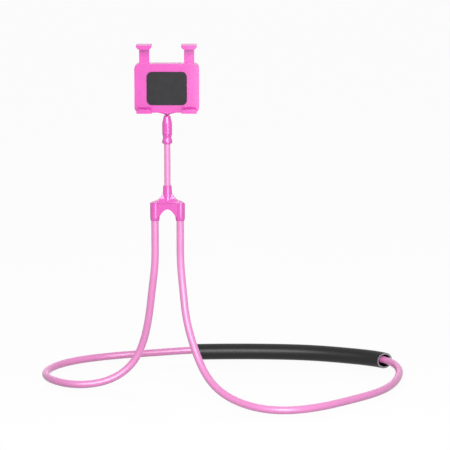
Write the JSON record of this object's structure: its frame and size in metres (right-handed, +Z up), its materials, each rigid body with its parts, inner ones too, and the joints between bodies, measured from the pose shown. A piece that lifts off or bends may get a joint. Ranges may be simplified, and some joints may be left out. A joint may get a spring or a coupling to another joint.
{
  "type": "flexible phone holder",
  "caption": "Bendable neck-loop phone holder: soft-jacketed tube loop with foam sleeve, yoke, gooseneck arm, ball joint and sprung phone clamp.",
  "frame": {"origin": "on the floor under the middle of the whole part's bounding box, at the bottom of the loop", "axes": "+X to the right seen from the front, +Y from the phone side to the back of the neck loop, +Z up the mast"},
  "size_m": [0.4433, 0.2693, 0.4169],
  "materials": {
    "pink_abs": "satin moulded ABS",
    "pink_jacket": "smooth satin soft jacket",
    "bend_wire": "bare drawn wire",
    "black_foam": "matt closed-cell foam",
    "black_rubber": "matt",
    "crimp_steel": "plain",
    "screw_steel": "plated",
    "spring_steel": "drawn spring wire",
    "white_nylon": "natural"
  },
  "bodies": {
    "neck_loop": {"loop_jacket": "pink_jacket", "loop_wire": "bend_wire", "neck_sleeve": "black_foam"},
    "mast": {"leg_jacket_left": "pink_jacket", "leg_jacket_right": "pink_jacket", "leg_wire_left": "bend_wire", "leg_wire_right": "bend_wire", "leg_crimps": "crimp_steel", "yoke_front": "pink_abs", "yoke_rear": "pink_abs", "yoke_screws": "screw_steel", "arm_jacket_lower": "pink_jacket", "arm_wire_lower": "bend_wire", "arm_crimp_lower": "crimp_steel"},
    "arm_middle": {"arm_jacket_middle": "pink_jacket", "arm_wire_middle": "bend_wire"},
    "arm_top": {"arm_jacket_upper": "pink_jacket", "arm_wire_upper": "bend_wire", "arm_crimp_upper": "crimp_steel", "ball_collar": "pink_abs"},
    "lock_nut": {"lock_nut": "pink_abs"},
    "ball_seat": {"ball_seat": "white_nylon"},
    "clamp": {"ball_stud": "pink_abs", "clamp_rear_shell": "pink_abs", "clamp_front_cover": "pink_abs", "cover_screws": "screw_steel", "grip_pad": "black_rubber", "lower_claw_pads": "black_rubber", "jaw_spring_left": "spring_steel", "jaw_spring_right": "spring_steel"},
    "upper_jaw": {"upper_jaw": "pink_abs", "upper_claw_pads": "black_rubber"}
  },
  "joints": [
    {"name": "mast_lean", "type": "hinge", "parent": "neck_loop", "child": "mast", "pos_m": [-0.06499, -0.01495, 0.175], "axis": [1, 0, 0], "range_deg": [-25, 25]},
    {"name": "arm_bow", "type": "hinge", "parent": "mast", "child": "arm_middle", "pos_m": [-0.06499, -0.01495, 0.26483], "axis": [1, 0, 0], "range_deg": [-35, 35]},
    {"name": "arm_sway", "type": "hinge", "parent": "arm_middle", "child": "arm_top", "pos_m": [-0.06499, -0.01495, 0.28167], "axis": [0, 1, 0], "range_deg": [-35, 35]},
    {"name": "lock_nut_turn", "type": "hinge", "parent": "arm_top", "child": "lock_nut", "pos_m": [-0.06499, -0.01495, 0.32], "axis": [0, 0, 1], "range_deg": [0, 180]},
    {"name": "ball_pan", "type": "hinge", "parent": "arm_top", "child": "ball_seat", "pos_m": [-0.06499, -0.01495, 0.3265], "axis": [0, 0, 1], "continuous": true},
    {"name": "ball_tilt", "type": "hinge", "parent": "ball_seat", "child": "clamp", "pos_m": [-0.06499, -0.01495, 0.3265], "axis": [1, 0, 0], "range_deg": [-15, 15]},
    {"name": "jaw_slide", "type": "slide", "parent": "clamp", "child": "upper_jaw", "axis": [0, 0, 1], "range_m": [-0.02, 0.008], "stiffness_N_per_m": 150, "springref_m": -0.02, "deforming": ["jaw_spring_left", "jaw_spring_right"]}
  ]
}
